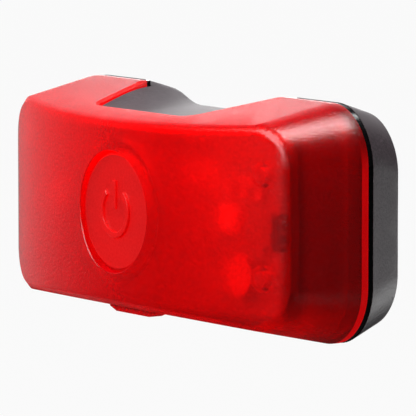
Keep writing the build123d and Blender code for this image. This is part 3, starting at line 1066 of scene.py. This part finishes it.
@dataclass
class ChipComponents:
    """Ceramic bodies with tinned end caps, and the pads that they are soldered to.

    Attributes:
        part: Resistors or capacitors.
        shelf: Where the materials are.
        cap_length: Length of an end cap.
        cap_growth: How far a cap stands over the body.
        pad_growth: How much longer and wider a pad is than its cap.
        pad_height: Thickness of a pad.
        pad_rise: Share of that thickness from the board's face to the pad's middle.
    """

    part: Part
    shelf: MaterialShelf
    cap_length: float = 0.4 * MM
    cap_growth: float = 0.03 * MM
    pad_growth: float = 0.3 * MM
    pad_height: float = 0.04 * MM
    pad_rise: float = 1 / 3

    def build(self, node: bpy.types.Object) -> None:
        """Builds the bodies, the caps and the pads.

        Args:
            node: The frame's own object.
        """
        boxes = islands(node)
        size = boxes[0][1] - boxes[0][0]
        middles = [(low + high) / 2 for low, high in boxes]
        inset = 2 * self.cap_growth
        inner = Vector((size.x - self.cap_length, size.y - inset, size.z - inset))
        reach = (size.x - self.cap_length) / 2
        ends = [middle + Vector((side * reach, 0, 0)) for middle in middles for side in (-1, 1)]
        cap = Vector((self.cap_length, size.y, size.z))
        pad = Vector((self.cap_length + self.pad_growth, self.pad_height, size.z + self.pad_growth))
        lift = Vector((0, size.y / 2 - self.pad_height * self.pad_rise, 0))
        on_board = [end + lift for end in ends]
        name, body = self.part.node, self.part.body
        pieces = (
            Repeated(f"{name}_body", block(inner), middles, self.part.finish, body, self.part.slot, name),
            Repeated(f"{name}_ends", block(cap), ends, TIN, body, "contact_metal"),
            Repeated(f"{name}_pads", block(pad), on_board, TIN, body, "contact_metal"),
        )
        for piece in pieces:
            piece.build(self.shelf)


@dataclass
class Inductor:
    """Ferrite drum with turns of enamelled copper wire between its flanges.

    Attributes:
        shelf: Where the materials are.
        turns: Number of turns that show.
        flange_share: Thickness of a flange, as a share of the drum's height.
        waist_share: Radius between the flanges, as a share of the drum's.
        face_share: Radius of the front face inside its rounded edge, as a share of the drum's.
        rounding: Depth of that rounded edge.
        wire_share: Radius of the winding, as a share of the drum's.
        wire_sunk: Radius where a turn meets the waist, as a share of the waist's.
    """

    shelf: MaterialShelf
    turns: int = 5
    flange_share: float = 0.25
    waist_share: float = 0.7
    face_share: float = 0.94
    rounding: float = 0.08 * MM
    wire_share: float = 0.93
    wire_sunk: float = 0.98

    def build(self, node: bpy.types.Object) -> None:
        """Builds the drum and its winding.

        Args:
            node: The frame's own object.
        """
        part = Part.INDUCTOR
        low, high = islands(node)[0]
        middle = (low + high) / 2
        radius, height = (high.x - low.x) / 2, high.y - low.y
        flange, waist = height * self.flange_share, radius * self.waist_share
        drum = [
            (radius * self.face_share, -height / 2),
            (radius, -height / 2 + self.rounding),
            (radius, -height / 2 + flange),
            (waist, -height / 2 + flange),
            (waist, height / 2 - flange),
            (radius, height / 2 - flange),
            (radius, height / 2),
        ]
        pitch = (height - 2 * flange) / self.turns
        root, crest = waist * self.wire_sunk, radius * self.wire_share
        wire = [(root, -pitch / 2), (crest, -pitch / 4), (crest, pitch / 4), (root, pitch / 2)]
        rows = [middle + Vector((0, (i - (self.turns - 1) / 2) * pitch, 0)) for i in range(self.turns)]
        body, slot = part.body, part.slot
        pieces = (
            Repeated("inductor_drum", turned(drum), [middle], part.finish, body, slot, part.node),
            Repeated("inductor_wire", turned(wire), rows, COPPER_WIRE, body, slot),
        )
        for piece in pieces:
            piece.build(self.shelf)


@dataclass
class LightSource:
    """White package with a yellow phosphor disc under a clear dome.

    Attributes:
        side: Which of the two it is, left or right.
        shelf: Where the materials are.
        phosphor_radius: Radius of the disc.
        phosphor_y: Front and back of the disc, from the package's face.
        foot: Height of the dome's straight foot.
        rise_angles: Angles of the dome's rings, in degrees, from its top to its foot.
    """

    side: str
    shelf: MaterialShelf
    phosphor_radius: float = 1.05 * MM
    phosphor_y: tuple[float, float] = (-0.05 * MM, 0.03 * MM)
    foot: float = 0.06 * MM
    rise_angles: tuple[int, ...] = (86, 78, 70, 60, 50, 40, 30, 20, 10, 0)

    def build(self, nodes: dict[str, bpy.types.Object]) -> None:
        """Builds the package, the disc and the dome.

        Args:
            nodes: The frame's objects, by node.
        """
        package, dome = Part[f"LED_{self.side.upper()}"], Part[f"LED_DOME_{self.side.upper()}"]
        SmoothPiece(package, self.shelf).build(nodes[package.node])
        low, high = islands(nodes[dome.node])[0]
        middle = Vector(((low.x + high.x) / 2, high.y, (low.z + high.z) / 2))
        disc = turned([(self.phosphor_radius, y) for y in self.phosphor_y])
        radius, rise = (high.x - low.x) / 2, high.y - low.y
        bead = turned(
            [
                (radius * math.cos(a), -self.foot - (rise - self.foot) * math.sin(a))
                for a in map(math.radians, self.rise_angles)
            ]
        )
        name = f"phosphor_{self.side}"
        Repeated(name, disc, [middle], PHOSPHOR, package.body, package.slot).build(self.shelf)
        Repeated(dome.node, bead, [middle], dome.finish, dome.body, dome.slot, dome.node).build(self.shelf)


@dataclass
class BoardParts:
    """Small parts on the circuit board: printing, chip components, inductor, light sources and driver chip.

    Attributes:
        shelf: Where the materials are.
        ink_bars: Middle X and Z, width and height of each bar printed on the board's front.
        ink_thickness: Thickness of the ink, half of it in the board.
    """

    shelf: MaterialShelf
    ink_bars: tuple[tuple[float, float, float, float], ...] = (
        (17.6 * MM, 4.6 * MM, 6.4 * MM, 0.8 * MM),
        (9.9 * MM, 4.5 * MM, 6.4 * MM, 3.0 * MM),
    )
    ink_thickness: float = 0.02 * MM

    def printing(self, board: bpy.types.Object) -> None:
        """Prints the plain bars on the front of the board.

        Args:
            board: The frame's own object.
        """
        part = Part.CIRCUIT_BOARD
        front = min(vert.co.y for vert in board.data.vertices)
        for i, (x, z, width, height) in enumerate(self.ink_bars):
            bar = block(Vector((width, self.ink_thickness, height)))
            place = Vector((x, front, z))
            Repeated(f"board_ink_{i}", bar, [place], INK_WHITE, part.body, part.slot).build(self.shelf)

    def build(self, nodes: dict[str, bpy.types.Object]) -> None:
        """Builds every small part.

        Args:
            nodes: The frame's objects, by node.
        """
        self.printing(nodes[Part.CIRCUIT_BOARD.node])
        for part in (Part.RESISTORS, Part.CAPACITORS):
            ChipComponents(part, self.shelf).build(nodes[part.node])
        Inductor(self.shelf).build(nodes[Part.INDUCTOR.node])
        for side in ("left", "right"):
            LightSource(side, self.shelf).build(nodes)
        legs = (Accent(TIN, at_chip_leg),)
        SmoothPiece(Part.DRIVER_CHIP, self.shelf, legs).build(nodes[Part.DRIVER_CHIP.node])


@dataclass
class CrossScrews:
    """Screws with a cross recess in each head.

    Attributes:
        part: Which screws they are.
        shelf: Where the materials are.
        head_radius: Radius of the head.
        head_height: Height of the head.
        shaft_radius: Radius of the shaft.
        countersunk: Whether the head is a cone, with a finer edge, instead of a disc.
        edge: How far the edges of the head and the tip are broken.
        recess_length: Length of the recess, as a share of the head's width.
        recess_width: Width of the recess.
        recess_depth: Depth of the recess.
        turn: Farthest turn of a screw to either side, in radians.
    """

    part: Part
    shelf: MaterialShelf
    head_radius: float
    head_height: float
    shaft_radius: float
    countersunk: bool
    edge: float = 0.12 * MM
    recess_length: float = 0.62
    recess_width: float = 0.28 * MM
    recess_depth: float = 0.45 * MM
    turn: float = 0.7

    def solid(self, length: float) -> bpy.types.Mesh:
        """Makes one screw along -Y, with its head at the back and its middle at the origin.

        Args:
            length: Length of the screw.

        Returns:
            The mesh.
        """
        back, front = length / 2, -length / 2
        neck = back - self.head_height
        broken = self.edge / 3 if self.countersunk else self.edge
        crown = [(self.head_radius, back - broken), (self.head_radius - broken, back)]
        under = [] if self.countersunk else [(self.head_radius, neck)]
        tip = [(self.shaft_radius - self.edge, front), (self.shaft_radius, front + self.edge)]
        screw = turned([*tip, (self.shaft_radius, neck), *under, *crown])
        return self.with_recess(screw, back)

    def with_recess(self, screw: bpy.types.Mesh, back: float) -> bpy.types.Mesh:
        """Cuts the cross recess into the head.

        Args:
            screw: The screw without its recess.
            back: Y of the head's back.

        Returns:
            The mesh with the recess.
        """
        holder = bpy.data.objects.new("screw", screw)
        bpy.context.scene.collection.objects.link(holder)
        reach = 2 * self.recess_length * self.head_radius
        cutters = []
        for width, height in ((reach, self.recess_width), (self.recess_width, reach)):
            arm = block(Vector((width, 2 * self.recess_depth, height)), Vector((0, back, 0)))
            cutter = bpy.data.objects.new("cutter", arm)
            bpy.context.scene.collection.objects.link(cutter)
            cut = holder.modifiers.new("cross", "BOOLEAN")
            cut.object, cut.operation, cut.solver = cutter, "DIFFERENCE", "EXACT"
            cutters.append(cutter)
        graph = bpy.context.evaluated_depsgraph_get()
        mesh = bpy.data.meshes.new_from_object(holder.evaluated_get(graph), depsgraph=graph)
        for item in (holder, *cutters):
            bpy.data.objects.remove(item)
        return mesh

    def build(self, node: bpy.types.Object) -> None:
        """Builds the screws in the node's places.

        Args:
            node: The frame's own object.
        """
        part = self.part
        boxes = islands(node)
        middles = [(low + high) / 2 for low, high in boxes]
        solid = self.solid(boxes[0][1].y - boxes[0][0].y)
        Repeated(
            part.node, solid, middles, part.finish, part.body, part.slot, part.node, turn=self.turn
        ).build(self.shelf)


@dataclass(frozen=True)
class SoftBox:
    """Square soft light aimed at the object.

    Attributes:
        name: Name of the light.
        azimuth: Degrees from the front, positive to the right.
        elevation: Degrees above the horizon.
        distance: Distance from the object, in metres.
        size: Side of the light, in metres.
        watts: Power of the light.
    """

    name: str
    azimuth: float
    elevation: float
    distance: float
    size: float
    watts: float

    def place(self, target: Vector) -> None:
        """Adds the light to the scene.

        Args:
            target: Point that it is aimed at.
        """
        data = bpy.data.lights.new(self.name, "AREA")
        data.size = self.size
        data.energy = self.watts
        turn, rise = math.radians(self.azimuth), math.radians(self.elevation)
        away = Vector((math.sin(turn) * math.cos(rise), -math.cos(turn) * math.cos(rise), math.sin(rise)))
        light = bpy.data.objects.new(self.name, data)
        light.location = target + away * self.distance
        light.rotation_euler = (-away).to_track_quat("-Z", "Y").to_euler()
        bpy.context.scene.collection.objects.link(light)


# What each light gives, seen from the photograph's side
SOFT_BOXES = (
    # Lights the lens's front and the board behind it
    SoftBox("key", azimuth=4, elevation=36, distance=0.9, size=0.8, watts=13.2),
    # Pale tone on the left of the bowed front
    SoftBox("veil", azimuth=-78, elevation=2, distance=0.9, size=0.5, watts=0.15),
    # Lights the tops of the lens and the base
    SoftBox("top", azimuth=143, elevation=76, distance=0.8, size=0.36, watts=5.2),
    # Mirrored by the flat tops at a glancing angle, which turns them milky
    SoftBox("backdrop", azimuth=-122, elevation=5, distance=0.9, size=1.2, watts=3.1),
    # Faint sheen on the upright right side
    SoftBox("back_right", azimuth=150, elevation=-5, distance=0.5, size=0.3, watts=0.1),
    # Sheen on the base's side, low and towards the back
    SoftBox("low_back", azimuth=177, elevation=-26, distance=0.5, size=0.3, watts=1.0),
    # Brighter strip of the glancing reflection, the highlight on the lens's top
    SoftBox("horizon", azimuth=-125, elevation=6, distance=0.9, size=0.18, watts=0.42),
    # Faint sheen low on the right side
    SoftBox("low_side", azimuth=97, elevation=-29, distance=0.5, size=0.25, watts=0.04),
    # Sheen on the rounded lower edge of the front
    SoftBox("low_left", azimuth=-90, elevation=-35, distance=0.5, size=0.3, watts=0.08),
    # Small glint on the rounded upper edge of the right side
    SoftBox("glint", azimuth=-162, elevation=54, distance=0.8, size=0.12, watts=0.3),
)


@dataclass
class Studio:
    """Pale floor, soft lights and the camera at the photograph's angle.

    Attributes:
        azimuth: The camera's angle from the front, positive to the right.
        elevation: The camera's angle above the horizon.
        distance: Distance from the camera to the target.
        focal_pixels: Focal length in pixels of the photograph.
        frame_pixels: Width of the photograph.
        target: Point of the object that the camera is aimed at.
        target_pixel: Pixel of the photograph where that point falls.
        sensor: Width of the camera's sensor, in millimetres.
        sight: How far the camera sees.
        floor_height: Z of the floor.
        floor_size: Side of the floor.
        paper_glow: Light that the camera sees the floor give.
        tent_strength: Light that comes from all round.
    """

    azimuth: float = math.radians(56.43)
    elevation: float = math.radians(5.91)
    distance: float = 0.533
    focal_pixels: float = 4976.8
    frame_pixels: float = 416.0
    target: tuple[float, float, float] = (0.0, -0.0068, 0.0)
    target_pixel: tuple[float, float] = (214.33, 204.75)
    sensor: float = 36.0
    sight: float = 50.0
    floor_height: float = -0.25
    floor_size: float = 12.0
    paper_glow: float = 0.95
    tent_strength: float = 0.02

    def camera(self) -> None:
        """Places the camera so that the target falls on its pixel of the photograph."""
        data = bpy.data.cameras.new("camera")
        data.sensor_width = self.sensor
        data.lens = self.focal_pixels * data.sensor_width / self.frame_pixels
        data.shift_x = (self.frame_pixels / 2 - self.target_pixel[0]) / self.frame_pixels
        data.shift_y = (self.target_pixel[1] - self.frame_pixels / 2) / self.frame_pixels
        data.clip_end = self.sight
        level = math.cos(self.elevation)
        away = Vector(
            (math.sin(self.azimuth) * level, -math.cos(self.azimuth) * level, math.sin(self.elevation))
        )
        camera = bpy.data.objects.new("camera", data)
        camera.location = Vector(self.target) + away * self.distance
        camera.rotation_euler = (-away).to_track_quat("-Z", "Y").to_euler()
        bpy.context.scene.collection.objects.link(camera)
        bpy.context.scene.camera = camera

    def floor(self) -> None:
        """Lays white paper, which the camera sees as white and which reflects only a little light."""
        mesh = bpy.data.meshes.new("floor")
        half = self.floor_size / 2
        corners = [(-half, -half), (half, -half), (half, half), (-half, half)]
        mesh.from_pydata([(x, y, self.floor_height) for x, y in corners], [], [(0, 1, 2, 3)])
        material, tree, output = new_material("paper_white")
        shade = add_node(tree, "ShaderNodeBsdfDiffuse", values={"Color": linear("303030")})
        glow = add_node(
            tree, "ShaderNodeEmission", values={"Color": linear("ffffff"), "Strength": self.paper_glow}
        )
        seen = add_node(
            tree, "ShaderNodeAddShader", links={0: shade.outputs["BSDF"], 1: glow.outputs["Emission"]}
        )
        ray = add_node(tree, "ShaderNodeLightPath")
        both = add_node(
            tree,
            "ShaderNodeMixShader",
            links={0: ray.outputs["Is Camera Ray"], 1: shade.outputs["BSDF"], 2: seen.outputs["Shader"]},
        )
        tree.links.new(both.outputs["Shader"], output.inputs["Surface"])
        mesh.materials.append(material)
        floor = bpy.data.objects.new("floor", mesh)
        bpy.context.scene.collection.objects.link(floor)

    def world(self) -> None:
        """Surrounds the light with even, dim white that the camera sees as white paper."""
        world = bpy.data.worlds.new("tent")
        bpy.context.scene.world = world
        world.use_nodes = True
        tree = world.node_tree
        tree.nodes.clear()
        white = linear("ffffff")
        ray = add_node(tree, "ShaderNodeLightPath")
        seen = add_node(tree, "ShaderNodeBackground", values={"Color": white, "Strength": 1.0})
        lit = add_node(tree, "ShaderNodeBackground", values={"Color": white, "Strength": self.tent_strength})
        mix = add_node(
            tree,
            "ShaderNodeMixShader",
            links={
                0: ray.outputs["Is Camera Ray"],
                1: lit.outputs["Background"],
                2: seen.outputs["Background"],
            },
        )
        add_node(tree, "ShaderNodeOutputWorld", links={"Surface": mix.outputs["Shader"]})

    def build(self) -> None:
        """Sets up the whole studio."""
        bpy.context.scene.view_settings.view_transform = "Standard"
        self.camera()
        self.floor()
        self.world()
        for soft_box in SOFT_BOXES:
            soft_box.place(Vector(self.target))


@dataclass
class RearLight:
    """The whole light: its skins, its button, its board and its screws.

    Attributes:
        shelf: Where the materials are.
        plain: Parts that need only their skin.
    """

    shelf: MaterialShelf
    plain: tuple[Part, ...] = (
        Part.BASE_HOUSING,
        Part.HELMET_CLIP,
        Part.LENS_GASKET,
        Part.BUTTON_SEAL,
        Part.CELL_CAN,
        Part.CELL_CAP,
        Part.CELL_SEAL,
        Part.CELL_STRIP,
        Part.CONTACT_NEGATIVE,
        Part.CONTACT_POSITIVE,
        Part.CIRCUIT_BOARD,
        Part.SWITCH_BODY,
        Part.SWITCH_FRAME,
        Part.SWITCH_PLUNGER,
    )

    def screws(self) -> tuple[CrossScrews, CrossScrews]:
        """Gives the sizes of the light's screws.

        Returns:
            The screws of the board and of the clip.
        """
        board = CrossScrews(
            Part.BOARD_SCREWS,
            self.shelf,
            head_radius=1.4 * MM,
            head_height=0.8 * MM,
            shaft_radius=0.8 * MM,
            countersunk=False,
        )
        clip = CrossScrews(
            Part.CLIP_SCREWS,
            self.shelf,
            head_radius=1.7 * MM,
            head_height=0.9 * MM,
            shaft_radius=0.9 * MM,
            countersunk=True,
        )
        return board, clip

    def build(self, nodes: dict[str, bpy.types.Object]) -> None:
        """Builds every piece round its node of the frame.

        Args:
            nodes: The frame's objects, by node.
        """
        # The notch walls, the rim and the posts get their painted glow here
        accents = (
            Accent(LENS_EDGE, at_notch),
            Accent(LENS_RIM, at_rim),
            Accent(LENS_POST, at_post),
        )
        SmoothPiece(Part.FRONT_LENS, self.shelf, accents).build(nodes[Part.FRONT_LENS.node])
        for part in self.plain:
            SmoothPiece(part, self.shelf).build(nodes[part.node])
        Button(self.shelf).build(nodes)
        BoardParts(self.shelf).build(nodes)
        for screws in self.screws():
            screws.build(nodes[screws.part.node])


def main() -> None:
    """Builds every piece around the frame and reports it."""
    logging.basicConfig(level=logging.INFO, format="%(name)s: %(message)s")
    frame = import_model()
    Studio().build()
    RearLight(MaterialShelf()).build(frame["nodes"])
    bpy.context.view_layer.update()


if __name__ == "__main__":
    main()
